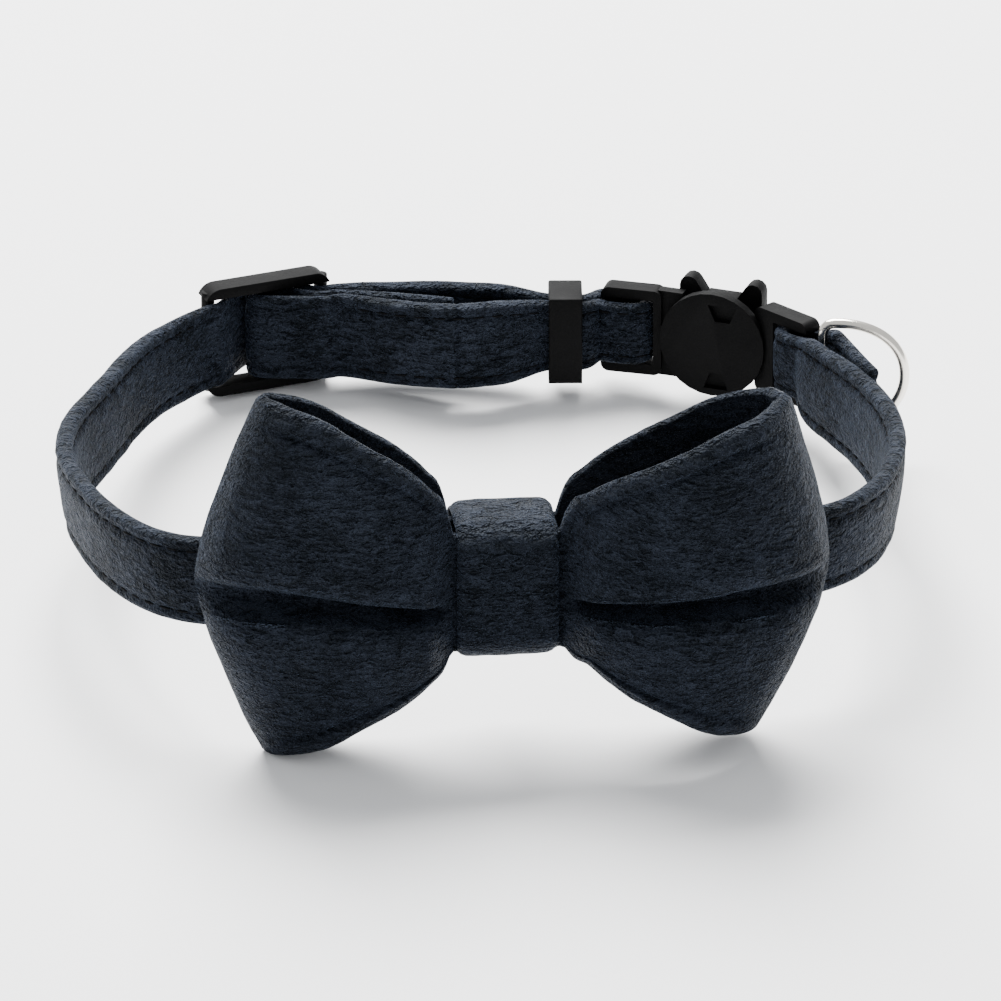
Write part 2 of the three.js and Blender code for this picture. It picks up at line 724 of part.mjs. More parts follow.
// The origin is under the middle of the collar, on the table.
const rest = new THREE.Group();
rest.add(collar);
rest.updateMatrixWorld(true);
const bounds = new THREE.Box3().setFromObject(rest, true);
const centre = bounds.getCenter(new THREE.Vector3());
collar.position.set(-centre.x, -centre.y, -bounds.min.z);

export default rest;
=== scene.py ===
"""The looks of the velvet bow tie collar: strap, bow, band, stitches, plastic fittings and ring.

Places are worked out in the collar's own frame in millimetres, where y = 0 is the middle of the
neck loop and z = 0 is the lower edge of the strap, and are then leaned and moved to the table.
"""

import cmath
import math

import bmesh
import bpy
import numpy as np
from mathutils import Matrix, Vector, noise


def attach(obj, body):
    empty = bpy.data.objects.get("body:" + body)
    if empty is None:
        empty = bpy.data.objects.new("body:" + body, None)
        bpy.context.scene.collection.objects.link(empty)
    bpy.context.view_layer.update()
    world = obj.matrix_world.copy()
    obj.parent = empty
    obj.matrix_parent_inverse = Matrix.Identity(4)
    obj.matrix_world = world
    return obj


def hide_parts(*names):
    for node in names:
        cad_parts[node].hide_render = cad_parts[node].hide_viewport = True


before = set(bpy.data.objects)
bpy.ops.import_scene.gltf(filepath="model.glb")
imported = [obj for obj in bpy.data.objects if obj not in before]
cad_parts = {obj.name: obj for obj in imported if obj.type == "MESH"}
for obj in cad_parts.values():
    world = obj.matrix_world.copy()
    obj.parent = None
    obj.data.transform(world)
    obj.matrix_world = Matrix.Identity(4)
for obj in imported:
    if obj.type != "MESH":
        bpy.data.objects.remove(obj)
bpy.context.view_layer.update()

MM = 0.001

# How the collar lies on the table.
LEAN = math.radians(-9.251654)
SHIFT = (-2.859068, 4.975609, 7.808493)

# Neck loop and strap.
HALF_LOOP = 47.3
HALF_DEPTH = 35.0
STRAP_WIDTH = 10.6
STRAP_MIDDLE = STRAP_WIDTH / 2
STRAP_THICK = 2.4
STRAP_IN_FOLD = 1.8
STRAP_IN_SLIDER = 1.2
STRAP_LEAN = 1.3
GAP = 0.3
PLAY = 0.3
IN_KEEPER = 8.7
IN_BUCKLE = 7.6
STRAP_STEP = 0.45
# Rows over which the strap's thickness, width and lean are smoothed, the share of the way
# between two stops at which its line is worked out, and the least step that it divides by.
SOFT_ROWS = 5
LINE_STEP = 0.05
SHORTEST = 1e-4

# Fittings that the strap goes through.
SLIDER_LENGTH = 16.0
SLIDER_BAR = 1.6
KEEPER_LENGTH = 4.0
DISC_RADIUS = 6.5
KEEPER_AWAY = 3.8
KEEPER_INSET = 3.3
KEEPER_TURN = 15.0
ARM_BAR = 1.4
PLUG_ARM = 7.4
PLUG_BAR_WIDTH = 2.4
PLUG_TURN = 5.5
HEAD_ARM = 8.4
HEAD_ROOT = 1.0
HEAD_TURN = -25.5
FOLD_SLACK = 1.85
RING_HEIGHT = 14.4
RING_REACH = 9.6
RING_WIRE = 1.2
RING_CORNER = 1.4
RING_ANGLE = -6.0

# Bow and its band.
BOW_WALL = 1.5
BOW_PINCH = 6.2
BOW_LIFT = 2.4
PLEAT_DEPTH = 3.4
PLEAT_DROP = 0.13
LEFT, RIGHT = -1, 1
WINGS = {
    LEFT: {
        "reach": 35.2, "height": 43.4, "depth": 5.0, "top_cut": 7.1, "low_cut": 7.5, "tuck": 0.0,
    },
    RIGHT: {
        "reach": 37.1, "height": 39.8, "depth": 10.0, "top_cut": 4.7, "low_cut": 7.8, "tuck": 1.9,
    },
}
KNOT_WIDTH = 11.6
KNOT_HEIGHT = 17.0
KNOT_WALL = 1.3
KNOT_DROP = 1.1

# The photograph's view: angles in degrees, distance in millimetres, and the picture's scale.
VIEW_AROUND = -6.5
VIEW_ABOVE = 24.0
VIEW_DISTANCE = 1500.0
PIXELS_PER_MM = 8.6
PICTURE = 1001
AIM = (3.5, 0.0, 5.6)
AIM_PIXEL = (495.0, 440.0)
SENSOR = 36.0


def on_table(points):
    """Points of the collar's own frame, in millimetres, as metres in the frame of the table."""
    p = np.asarray(points, float)
    c, s = math.cos(LEAN), math.sin(LEAN)
    x = p[..., 0] + SHIFT[0]
    y = p[..., 1] * c - p[..., 2] * s + SHIFT[1]
    z = p[..., 1] * s + p[..., 2] * c + SHIFT[2]
    return np.stack([x, y, z], -1) * MM


def smooth_curve(t, a, b, leave, arrive):
    """A smooth curve from a to b at the share t, with its slopes at both ends."""
    return (
        (2 * t**3 - 3 * t**2 + 1) * a
        + (t**3 - 2 * t**2 + t) * leave
        + (3 * t**2 - 2 * t**3) * b
        + (t**3 - t**2) * arrive
    )


def smooth_rows(rows, column, at):
    """Values between the rows of a table, with no kinks at the rows."""
    table = np.array(rows, float)
    x, y = table[:, 0], table[:, column]
    slope = np.gradient(y, x)
    at = np.clip(np.asarray(at, float), x[0], x[-1])
    i = np.clip(np.searchsorted(x, at) - 1, 0, len(x) - 2)
    step = x[i + 1] - x[i]
    return smooth_curve((at - x[i]) / step, y[i], y[i + 1], slope[i] * step, slope[i + 1] * step)


def distances(points):
    """How far each point of a line lies from its start, along the line."""
    steps = np.linalg.norm(np.diff(points, axis=0), axis=1)
    return np.concatenate([[0], np.cumsum(steps)])


def spaced(path, count):
    """Points at even steps round a closed path, and their distances along it."""
    closed = np.vstack([path, path[:1]])
    length = distances(closed)
    even = np.linspace(0, length[-1], count + 1)[:-1]
    return np.stack([np.interp(even, length, closed[:, c]) for c in (0, 1)], 1), even


def wander(points, size, seed):
    """Smooth noise from -1 to 1 at each point, with features of that size in millimetres."""
    offset = Vector((seed * 7.3, seed * 3.1, seed * 5.7))
    return np.array([noise.noise(Vector(p) / size + offset) for p in points])


def ripples(points, layers):
    """Sum of layers of noise at each point: rows of height, size and seed."""
    return sum(height * wander(points, size, seed) for height, size, seed in layers)


def grid_mesh(name, points, close_u, close_v, uv):
    """A mesh over a grid of points, rows by columns, with a UV map.

    The map takes its two coordinates from uv: one number for each row and for each column.
    """
    rows, columns = points.shape[:2]
    flat = on_table(points).reshape(-1, 3)
    across = columns if close_v else columns - 1
    along = rows if close_u else rows - 1
    faces = []
    for i in range(along):
        a, b = i * columns, ((i + 1) % rows) * columns
        for j in range(across):
            k = (j + 1) % columns
            faces.append((a + j, b + j, b + k, a + k))
    mesh = bpy.data.meshes.new(name)
    mesh.from_pydata([tuple(p) for p in flat], [], faces)
    layer = mesh.uv_layers.new(name="cloth")
    corner_uv = []
    for i in range(along):
        for j in range(across):
            for di, dj in ((0, 0), (1, 0), (1, 1), (0, 1)):
                u = uv[0][i + di] if i + di < len(uv[0]) else uv[0][-1] + uv[0][1]
                v = uv[1][j + dj] if j + dj < len(uv[1]) else uv[1][-1] + uv[1][1]
                corner_uv.extend((u, v))
    layer.data.foreach_set("uv", corner_uv)
    return mesh


def add_piece(name, mesh, material, body="collar"):
    """Links a mesh as a finished piece of a body."""
    piece = bpy.data.objects.new(name, mesh)
    bpy.context.scene.collection.objects.link(piece)
    piece.data.materials.clear()
    piece.data.materials.append(material)
    piece.data.shade_smooth()
    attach(piece, body)
    return piece


def outward_faces(mesh):
    """Turns the faces of a closed mesh outwards."""
    work = bmesh.new()
    work.from_mesh(mesh)
    bmesh.ops.recalc_face_normals(work, faces=work.faces)
    work.to_mesh(mesh)
    work.free()


# Materials.

# The nap adds up three noises: waves, a share of fibres and a share of crushed patches. Its
# ramp of colours starts a little below the middle of their sum and is as wide as its spread.
FIBRE_SHARE = 0.45
NAP_LEVEL = 0.9
NAP_BELOW = 0.14
NAP_SPREAD = 0.3


def new_material(name):
    """A material, its shader, and two helpers that add a node and a link."""
    material = bpy.data.materials.new(name)
    material.use_nodes = True
    tree = material.node_tree
    shader = next(n for n in tree.nodes if n.type == "BSDF_PRINCIPLED")

    def node(kind, **settings):
        made = tree.nodes.new(kind)
        for key, value in settings.items():
            if key in made.inputs:
                made.inputs[key].default_value = value
            else:
                setattr(made, key, value)
        return made

    def link(a, out, b, into):
        tree.links.new(a.outputs[out], b.inputs[into])

    return material, shader, node, link


def velvet(name, deep, lit, sheen, patchy):
    """Short velvet nap: deep colour, paler crests in wavy clumps that are painted sheen, crushed
    patches of random tone, soft sheen.
    """
    material, shader, node, link = new_material(name)
    shader.inputs["Roughness"].default_value = 0.62
    shader.inputs["Specular IOR Level"].default_value = 0.1
    shader.inputs["Specular Tint"].default_value = (0.62, 0.78, 1.0, 1)
    shader.inputs["Sheen Weight"].default_value = sheen
    shader.inputs["Sheen Roughness"].default_value = 0.22
    shader.inputs["Sheen Tint"].default_value = (0.50, 0.67, 1.0, 1)

    place = node("ShaderNodeTexCoord")
    clumps = node("ShaderNodeMapping", Scale=(500, 620, 1350))
    link(place, "Object", clumps, "Vector")
    waves = node("ShaderNodeTexNoise", Scale=1.0, Detail=3.0, Roughness=0.62, Distortion=0.8)
    link(clumps, "Vector", waves, "Vector")
    fibres = node("ShaderNodeTexNoise", Scale=2900.0, Detail=1.0, Roughness=0.6)
    link(place, "Object", fibres, "Vector")
    shades = node("ShaderNodeTexNoise", Scale=120.0, Detail=2.0, Roughness=0.5)
    link(place, "Object", shades, "Vector")

    nap = node("ShaderNodeMath", operation="MULTIPLY_ADD")
    nap.inputs[1].default_value = FIBRE_SHARE
    link(fibres, "Fac", nap, 0)
    link(waves, "Fac", nap, 2)
    patches = node("ShaderNodeMath", operation="MULTIPLY_ADD")
    patches.inputs[1].default_value = patchy
    link(shades, "Fac", patches, 0)
    link(nap, "Value", patches, 2)
    level = node("ShaderNodeMath", operation="MULTIPLY")
    level.inputs[1].default_value = NAP_LEVEL
    link(patches, "Value", level, 0)
    low = NAP_LEVEL * (1 + FIBRE_SHARE + patchy) / 2 - NAP_BELOW
    # Painted sheen: the ramp's pale end falls on the crests of the waves, which the bump raises,
    # and gives random tone where fibres and crushed patches are high.
    ramp = node("ShaderNodeValToRGB")
    ramp.color_ramp.elements[0].position = low
    ramp.color_ramp.elements[0].color = (*deep, 1)
    ramp.color_ramp.elements[1].position = low + NAP_SPREAD
    ramp.color_ramp.elements[1].color = (*lit, 1)
    link(level, "Value", ramp, "Fac")
    link(ramp, "Color", shader, "Base Color")

    wave_bump = node("ShaderNodeBump", Strength=1.0, Distance=0.0021)
    link(waves, "Fac", wave_bump, "Height")
    fibre_bump = node("ShaderNodeBump", Strength=0.9, Distance=0.0005)
    link(fibres, "Fac", fibre_bump, "Height")
    link(wave_bump, "Normal", fibre_bump, "Normal")
    link(fibre_bump, "Normal", shader, "Normal")
    return material


def moulded(name, colour, roughness, grain):
    """Matte moulded plastic with a fine spark-eroded grain."""
    material, shader, node, link = new_material(name)
    shader.inputs["Specular IOR Level"].default_value = 0.07
    place = node("ShaderNodeTexCoord")
    pits = node("ShaderNodeTexNoise", Scale=4200.0, Detail=2.0, Roughness=0.6)
    wear = node("ShaderNodeTexNoise", Scale=220.0, Detail=3.0, Roughness=0.6)
    link(place, "Object", pits, "Vector")
    link(place, "Object", wear, "Vector")
    gloss = node("ShaderNodeMapRange")
    gloss.inputs["To Min"].default_value = roughness - 0.08
    gloss.inputs["To Max"].default_value = roughness + 0.12
    link(wear, "Fac", gloss, "Value")
    link(gloss, "Result", shader, "Roughness")
    ramp = node("ShaderNodeValToRGB")
    ramp.color_ramp.elements[0].color = (*[c * 0.8 for c in colour], 1)
    ramp.color_ramp.elements[1].color = (*[c * 1.35 for c in colour], 1)
    link(wear, "Fac", ramp, "Fac")
    link(ramp, "Color", shader, "Base Color")
    bump = node("ShaderNodeBump", Strength=grain, Distance=0.00008)
    link(pits, "Fac", bump, "Height")
    link(bump, "Normal", shader, "Normal")
    return material


def plated(name):
    """Bright nickel plate with faint polishing marks."""
    material, shader, node, link = new_material(name)
    shader.inputs["Metallic"].default_value = 1.0
    shader.inputs["Base Color"].default_value = (0.78, 0.74, 0.67, 1)
    place = node("ShaderNodeTexCoord")
    marks = node("ShaderNodeTexNoise", Scale=900.0, Detail=3.0, Roughness=0.6)
    link(place, "Object", marks, "Vector")
    gloss = node("ShaderNodeMapRange")
    gloss.inputs["To Min"].default_value = 0.12
    gloss.inputs["To Max"].default_value = 0.3
    link(marks, "Fac", gloss, "Value")
    link(gloss, "Result", shader, "Roughness")
    bump = node("ShaderNodeBump", Strength=0.15, Distance=0.00004)
    link(marks, "Fac", bump, "Height")
    link(bump, "Normal", shader, "Normal")
    return material


def thread(name, colour):
    """Twisted sewing thread."""
    material, shader, node, link = new_material(name)
    shader.inputs["Specular IOR Level"].default_value = 0.08
    shader.inputs["Roughness"].default_value = 0.75
    place = node("ShaderNodeTexCoord")
    twist = node("ShaderNodeTexNoise", Scale=6000.0, Detail=1.0)
    link(place, "Object", twist, "Vector")
    ramp = node("ShaderNodeValToRGB")
    ramp.color_ramp.elements[0].color = (*[c * 0.6 for c in colour], 1)
    ramp.color_ramp.elements[1].color = (*[c * 1.5 for c in colour], 1)
    link(twist, "Fac", ramp, "Fac")
    link(ramp, "Color", shader, "Base Color")
    return material


DEEP = (0.0005, 0.0006, 0.0009)
# Pale blue-grey end of the nap's ramp: painted sheen on the wave crests, and random tone on fibres
# and crushed patches.
PAINTED_SHEEN_AND_TONE = (0.0130, 0.0160, 0.0236)
strap_velvet = velvet("strap_velvet", DEEP, PAINTED_SHEEN_AND_TONE, 0.07, 0.6)
bow_velvet = velvet("bow_velvet", DEEP, PAINTED_SHEEN_AND_TONE, 0.07, 0.4)
band_velvet = velvet("band_velvet", DEEP, PAINTED_SHEEN_AND_TONE, 0.1, 0.3)
black_plastic = moulded("black_plastic", (0.0010, 0.0010, 0.0011), 0.6, 0.5)
nickel = plated("nickel")
navy_thread = thread("navy_thread", (0.0009, 0.0011, 0.0017))


# Route of the strap, seen from above, with a place as a complex number.


class Station:
    """A place on the loop with its heading along the strap."""

    def __init__(self, x, y, heading):
        self.place = complex(x, y)
        self.heading = heading
        self.along = cmath.rect(1, math.radians(heading))

    def at(self, a, o):
        """The place a further along the strap and o further out from the neck."""
        return self.place + self.along * complex(a, o)

    def turned(self, a, o, turn):
        """Another station at a place of this one, with the heading turned."""
        place = self.at(a, o)
        return Station(place.real, place.imag, self.heading + turn)


# Where the slider, the buckle's head and the ring's fold lie, as shares of the half loop, and
# which way the strap heads there, in degrees.
slide = Station(-0.422 * HALF_LOOP, 1.02 * HALF_DEPTH, 16.5)
head = Station(0.7012 * HALF_LOOP, 0.7843 * HALF_DEPTH, -26.5)
tunnel = Station(0.893 * HALF_LOOP, 0.405 * HALF_DEPTH, -60)
ring_out = STRAP_THICK / 2 + GAP + RING_WIRE / 2
plug_arm = head.turned(-DISC_RADIUS - GAP, 0, PLUG_TURN)
keep = plug_arm.turned(-PLUG_ARM - KEEPER_AWAY, -KEEPER_INSET, KEEPER_TURN)
head_arm = head.turned(DISC_RADIUS - HEAD_ROOT, 0, HEAD_TURN)

# Strap from the slider round the left side to the front, and from there round the right side:
# shares of the half loop, and how far it leans out as a share of STRAP_LEAN.
LEFT_SIDE = [
    (-0.74, 0.66, 0.2),
    (-0.865, 0.31, 0.6),
    (-0.955, 0.03, 1),
    (-0.988, -0.22, 1),
    (-0.966, -0.46, 0.9),
    (-0.905, -0.73, 0.6),
    (-0.815, -0.92, 0.3),
    (-0.72, -0.995, 0),
    (-0.6, -1.015, 0),
    (-0.2, -1.015, 0),
]
RIGHT_SIDE = [
    (0.2, -1.015, 0),
    (0.6, -1.015, 0),
    (0.72, -1.0, 0),
    (0.8, -0.965, 0.2),
    (0.88, -0.88, 0.4),
    (0.95, -0.735, 0.7),
    (1.006, -0.5, 1),
    (1.021, -0.23, 1),
    (0.995, 0.0, 1),
    (0.974, 0.1, 0.9),
    (0.95, 0.19, 0.8),
]
# Layers of the strap between the slider and the keeper: share of the way, distance outward.
INNER_BACK = [(0.3, -2.2), (0.55, -3.2), (0.8, -2.0)]
OUTER_BACK = [(0.2, 0.8), (0.5, 1.2), (0.8, 0.7)]


def stop(place, thick=STRAP_THICK, wide=STRAP_WIDTH, lean=0.0):
    """A stop of the strap: its place, thickness, width and lean."""
    return place, thick, wide, lean


def arc(base, a, o, radius, start, end, count, thick, wide=STRAP_WIDTH):
    """Stops on an arc about a point of a station: 0 degrees is along the strap, 90 outward."""
    turns = np.radians(np.linspace(start, end, count))
    return [
        stop(base.at(a + radius * math.cos(t), o + radius * math.sin(t)), thick, wide)
        for t in turns
    ]


def back_stops(start, end, rows):
    """Stops between two places, each a share of the way and a distance outward."""
    way = end - start
    outward = way * 1j / abs(way)
    return [stop(start + way * share + outward * bow) for share, bow in rows]


def beside(stops, i, side, thick):
    """A stop of a folded layer beside a stop of a row: outside at -1, inside at 1."""
    way = stops[i + 1][0] - stops[i - 1][0]
    distance = STRAP_THICK / 2 + PLAY + thick / 2
    place = stops[i][0] + way * 1j / abs(way) * side * distance
    return stop(place, thick, stops[i][2], stops[i][3])


def strap_route():
    """All stops of the strap, from its sewn end at the slider to its tail at the ring."""
    thin, snug = STRAP_IN_SLIDER, STRAP_IN_FOLD
    bar = SLIDER_BAR / 2
    pitch = SLIDER_LENGTH / 2 - bar
    first = bar + PLAY + thin / 2
    second = first + thin + PLAY
    third = second + thin + PLAY
    crossing = math.degrees(math.asin((first + second) / pitch))
    settling = math.degrees(math.asin((third - first) / pitch))
    arm_bar = ARM_BAR / 2
    fold = arm_bar + PLAY + snug / 2
    layer = (snug + GAP) / 2

    inner = arc(slide, pitch, 0, third, 270 - settling, 276, 3, thin)
    half = KEEPER_LENGTH / 2 + PLAY
    keep_in, keep_out = keep.at(-half, -layer), keep.at(-half, layer)
    inner += back_stops(inner[2][0], keep_in, INNER_BACK)
    sewn = [
        beside(inner, 4, 1, thin),
        beside(inner, 3, 1, snug),
        *arc(slide, pitch, 0, second, -84, -90 - crossing, 4, thin),
        *arc(slide, 0, 0, first, 90 - crossing, 270 - settling, 7, thin),
    ]
    start, end = -PLUG_ARM + arm_bar, -PLUG_ARM + PLUG_BAR_WIDTH
    to_plug = [
        stop(keep_in, snug, IN_KEEPER),
        stop(keep.at(half, -layer), snug, IN_KEEPER),
        *arc(plug_arm, start, 0, fold, -115, -90, 2, snug, IN_BUCKLE),
        *arc(plug_arm, end - arm_bar + FOLD_SLACK, 0, fold, -90, 90, 7, snug, IN_BUCKLE),
        *arc(plug_arm, start, 0, fold, 90, 135, 3, snug, IN_BUCKLE),
        stop(keep.at(half, layer), snug, IN_KEEPER),
        stop(keep_out, snug, IN_KEEPER),
    ]
    slide_in = arc(slide, pitch, 0, first, -70, -90 - crossing, 4, thin)
    outer = back_stops(slide_in[0][0], keep_out, OUTER_BACK)[::-1]
    weave = [
        *slide_in,
        *arc(slide, 0, 0, second, 90 - crossing, 90 + crossing, 5, thin),
        *arc(slide, -pitch, 0, first, crossing - 90, -100, 4, thin),
    ]
    front = [
        stop(complex(x * HALF_LOOP, y * HALF_DEPTH), lean=lean * STRAP_LEAN)
        for x, y, lean in LEFT_SIDE + RIGHT_SIDE
    ]
    front.append(stop(tunnel.place))
    head_bar = HEAD_ARM - arm_bar
    to_head = [
        stop(head_arm.at(HEAD_ARM, -fold), snug, IN_BUCKLE),
        *arc(head_arm, head_bar - FOLD_SLACK, 0, fold, 270, 90, 7, snug, IN_BUCKLE),
        stop(head_arm.at(HEAD_ARM, fold), snug, IN_BUCKLE),
    ]
    tail = [
        *arc(tunnel, 0, ring_out, RING_WIRE / 2 + PLAY + snug / 2, 120, 60, 3, snug),
        beside(front, len(front) - 2, -1, snug),
        beside(front, len(front) - 3, -1, thin),
    ]
    return [*sewn, *inner, *to_plug, *outer, *weave, *front, *to_head, *tail]


def smooth_line(stops, step):
    """A smooth line through the stops, in rows a step apart.

    The columns are x, y, thickness, width, lean and the number of the stop.
    """
    table = np.array([(s[0].real, s[0].imag, *s[1:]) for s in stops])
    xy = table[:, :2]
    dense = []
    last = len(xy) - 1
    for i in range(last):
        a, b = xy[i], xy[i + 1]
        before = xy[i - 1] if i else 2 * a - b
        after = xy[i + 2] if i + 2 <= last else 2 * b - a
        d0, d1, d2 = [
            max(np.linalg.norm(q - p) ** 0.5, SHORTEST)
            for p, q in ((before, a), (a, b), (b, after))
        ]
        t1 = ((a - before) / d0 - (b - before) / (d0 + d1) + (b - a) / d1) * d1
        t2 = ((b - a) / d1 - (after - a) / (d1 + d2) + (after - b) / d2) * d1
        for t in np.arange(0, 1, LINE_STEP):
            place = smooth_curve(t, a, b, t1, t2)
            dense.append([*place, *(table[i, 2:] * (1 - t) + table[i + 1, 2:] * t), i + t])
    dense.append([*xy[-1], *table[-1, 2:], float(last)])
    dense = np.array(dense)
    length = distances(dense[:, :2])
    even = np.linspace(0, length[-1], int(length[-1] / step) + 1)
    return even, np.stack([np.interp(even, length, column) for column in dense.T], 1)


def soften(values, reach):
    """Values smoothed along the rows over a few neighbours."""
    kernel = np.hanning(2 * reach + 3)[1:-1]
    padded = np.concatenate([[values[0]] * reach, values, [values[-1]] * reach])
    return np.convolve(padded, kernel / kernel.sum(), "valid")


# Half of the strap's section, from the middle to its edge: share of the half width, share of
# the half thickness. The dip is where the seam sinks in.
SEAM_AT = 0.72
STRAP_SECTION = [
    (0.0, 1.0),
    (0.3, 1.0),
    (0.55, 0.96),
    (0.65, 0.87),
    (SEAM_AT, 0.7),
    (0.79, 0.84),
    (0.87, 0.88),
    (0.94, 0.76),
    (0.985, 0.48),
    (1.0, 0.0),
]
# A long seam: its width as a share of half the strap, and how far each stitch draws it in. A
# seam across the strap: how far it draws the cloth in, and its width in stops.
SEAM_WIDTH = 0.07
SEAM_PUCKER = 0.16
CROSS_DEPTH = 0.28
CROSS_WIDTH = 0.035
# Stops, as numbers along the route, where a seam runs across the strap.
CROSS_SEAMS = (1.0, 17.1, 17.62, 83.4)
# Crumples of the cloth: height, size and seed, sideways and then up and down.
STRAP_CRUMPLE = [(0.10, 3.2, 1), (0.05, 1.1, 2)]
STRAP_WAVE = [(0.12, 4.5, 3)]
# How far round the strap is, for its UV map.
STRAP_ROUND = 26
# Stitches: pitch along the seam, length, radius, how far they sink in, and how thick the strap
# and how many points long a run of seam has to be, at least, to show any.
STITCH_PITCH = 2.3
STITCH_LENGTH = 1.5
STITCH_RADIUS = 0.17
STITCH_SINK = 0.02
SEWN_THICK = 1.7
SEWN_POINTS = 9


def strap_frames():
    """Middle line of the strap with the side and the outward direction at each step."""
    length, line = smooth_line(strap_route(), STRAP_STEP)
    for column in (2, 3, 4):
        line[:, column] = soften(line[:, column], SOFT_ROWS)
    way = np.gradient(line[:, :2], axis=0)
    way /= np.linalg.norm(way, axis=1)[:, None]
    side = np.stack([way[:, 1], -way[:, 0]], 1)
    outward = line[:, :2] / np.linalg.norm(line[:, :2], axis=1)[:, None]
    return length, line, side, outward


def strap_point(line, side, outward, i, across, up):
    """A point of the strap: across in millimetres from its middle, up as a share."""
    wide, lean = line[i, 3], line[i, 4]
    xy = line[i, :2] + side[i] * across + outward[i] * up * lean / 2
    return [xy[0], xy[1], STRAP_MIDDLE + up * wide / 2]


def close_ends(mesh, rows, columns):
    """Puts a face over both ends of a tube and turns all its faces outwards."""
    work = bmesh.new()
    work.from_mesh(mesh)
    work.verts.ensure_lookup_table()
    work.faces.new([work.verts[j] for j in range(columns)])
    first = (rows - 1) * columns
    work.faces.new([work.verts[first + j] for j in reversed(range(columns))])
    bmesh.ops.recalc_face_normals(work, faces=work.faces)
    work.to_mesh(mesh)
    work.free()


def make_strap():
    """The padded velvet strip, with its two sunk seams and a few cross seams."""
    length, line, side, outward = strap_frames()
    shares, thick = np.array(STRAP_SECTION).T
    up = np.concatenate([shares[::-1], -shares[1:], -shares[::-1][1:], shares[1:-1]])
    face = np.concatenate([thick[::-1], thick[1:], -thick[::-1][1:], -thick[1:-1]])
    points = np.zeros((len(length), len(up), 3))
    pucker = 0.5 + 0.5 * np.cos(2 * math.pi * length / STITCH_PITCH)
    near_seam = np.exp(-(((np.abs(up) - SEAM_AT) / SEAM_WIDTH) ** 2))
    cross = sum(np.exp(-(((line[:, 5] - at) / CROSS_WIDTH) ** 2)) for at in CROSS_SEAMS)
    for i in range(len(length)):
        depth = face * line[i, 2] / 2
        depth *= (1 - SEAM_PUCKER * near_seam * pucker[i]) * (1 - CROSS_DEPTH * cross[i])
        for j in range(len(up)):
            points[i, j] = strap_point(line, side, outward, i, depth[j], up[j])
    crumple = ripples(points.reshape(-1, 3), STRAP_CRUMPLE).reshape(points.shape[:2])
    loose = np.clip(line[:, 2] - STRAP_IN_SLIDER, 0, 1) / (STRAP_THICK - STRAP_IN_SLIDER)
    amount = crumple * loose[:, None] * np.sign(face)[None, :]
    points[:, :, :2] += amount[:, :, None] * side[:, None, :]
    wave = ripples(points.reshape(-1, 3), STRAP_WAVE).reshape(points.shape[:2])
    points[:, :, 2] += wave * loose[:, None]
    turns = np.linspace(0, STRAP_ROUND, len(up))
    mesh = grid_mesh("strap_cloth", points, False, True, (length, turns))
    close_ends(mesh, len(length), len(up))
    return mesh


strap = add_piece("strap_cloth", make_strap(), strap_velvet)
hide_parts("strap")


# Stitches along both seams of both faces.


def stitch_tree():
    """Geometry Nodes that lay short thread stitches along a guide, a pitch apart."""
    tree = bpy.data.node_groups.new("stitches", "GeometryNodeTree")
    face = tree.interface
    face.new_socket("Geometry", in_out="INPUT", socket_type="NodeSocketGeometry")
    sizes = (("Pitch", STITCH_PITCH), ("Length", STITCH_LENGTH), ("Radius", STITCH_RADIUS))
    for label, value in sizes:
        socket = face.new_socket(label, in_out="INPUT", socket_type="NodeSocketFloat")
        socket.default_value = value * MM
    face.new_socket("Thread", in_out="INPUT", socket_type="NodeSocketMaterial")
    face.new_socket("Geometry", in_out="OUTPUT", socket_type="NodeSocketGeometry")
    given, out = tree.nodes.new("NodeGroupInput"), tree.nodes.new("NodeGroupOutput")
    to_curve = tree.nodes.new("GeometryNodeMeshToCurve")
    points = tree.nodes.new("GeometryNodeCurveToPoints")
    points.mode = "LENGTH"
    bead = tree.nodes.new("GeometryNodeMeshUVSphere")
    bead.inputs["Segments"].default_value = 6
    bead.inputs["Rings"].default_value = 5
    half = tree.nodes.new("ShaderNodeMath")
    half.operation = "MULTIPLY"
    half.inputs[1].default_value = 0.5
    scale = tree.nodes.new("ShaderNodeCombineXYZ")
    place = tree.nodes.new("GeometryNodeInstanceOnPoints")
    real = tree.nodes.new("GeometryNodeRealizeInstances")
    dyed = tree.nodes.new("GeometryNodeSetMaterial")
    for source, output, target, into in (
        (given, "Geometry", to_curve, "Mesh"),
        (to_curve, "Curve", points, "Curve"),
        (given, "Pitch", points, "Length"),
        (points, "Points", place, "Points"),
        (points, "Rotation", place, "Rotation"),
        (bead, "Mesh", place, "Instance"),
        (given, "Length", half, 0),
        (half, "Value", scale, "Z"),
        (given, "Radius", scale, "X"),
        (given, "Radius", scale, "Y"),
        (scale, "Vector", place, "Scale"),
        (place, "Instances", real, "Geometry"),
        (real, "Geometry", dyed, "Geometry"),
        (given, "Thread", dyed, "Material"),
        (dyed, "Geometry", out, "Geometry"),
    ):
        tree.links.new(source.outputs[output], target.inputs[into])
    return tree


def applied(piece, name):
    """The mesh of an object with its modifiers applied. The object itself is removed."""
    graph = bpy.context.evaluated_depsgraph_get()
    mesh = bpy.data.meshes.new_from_object(piece.evaluated_get(graph), depsgraph=graph)
    mesh.name = name
    bpy.data.objects.remove(piece)
    return mesh


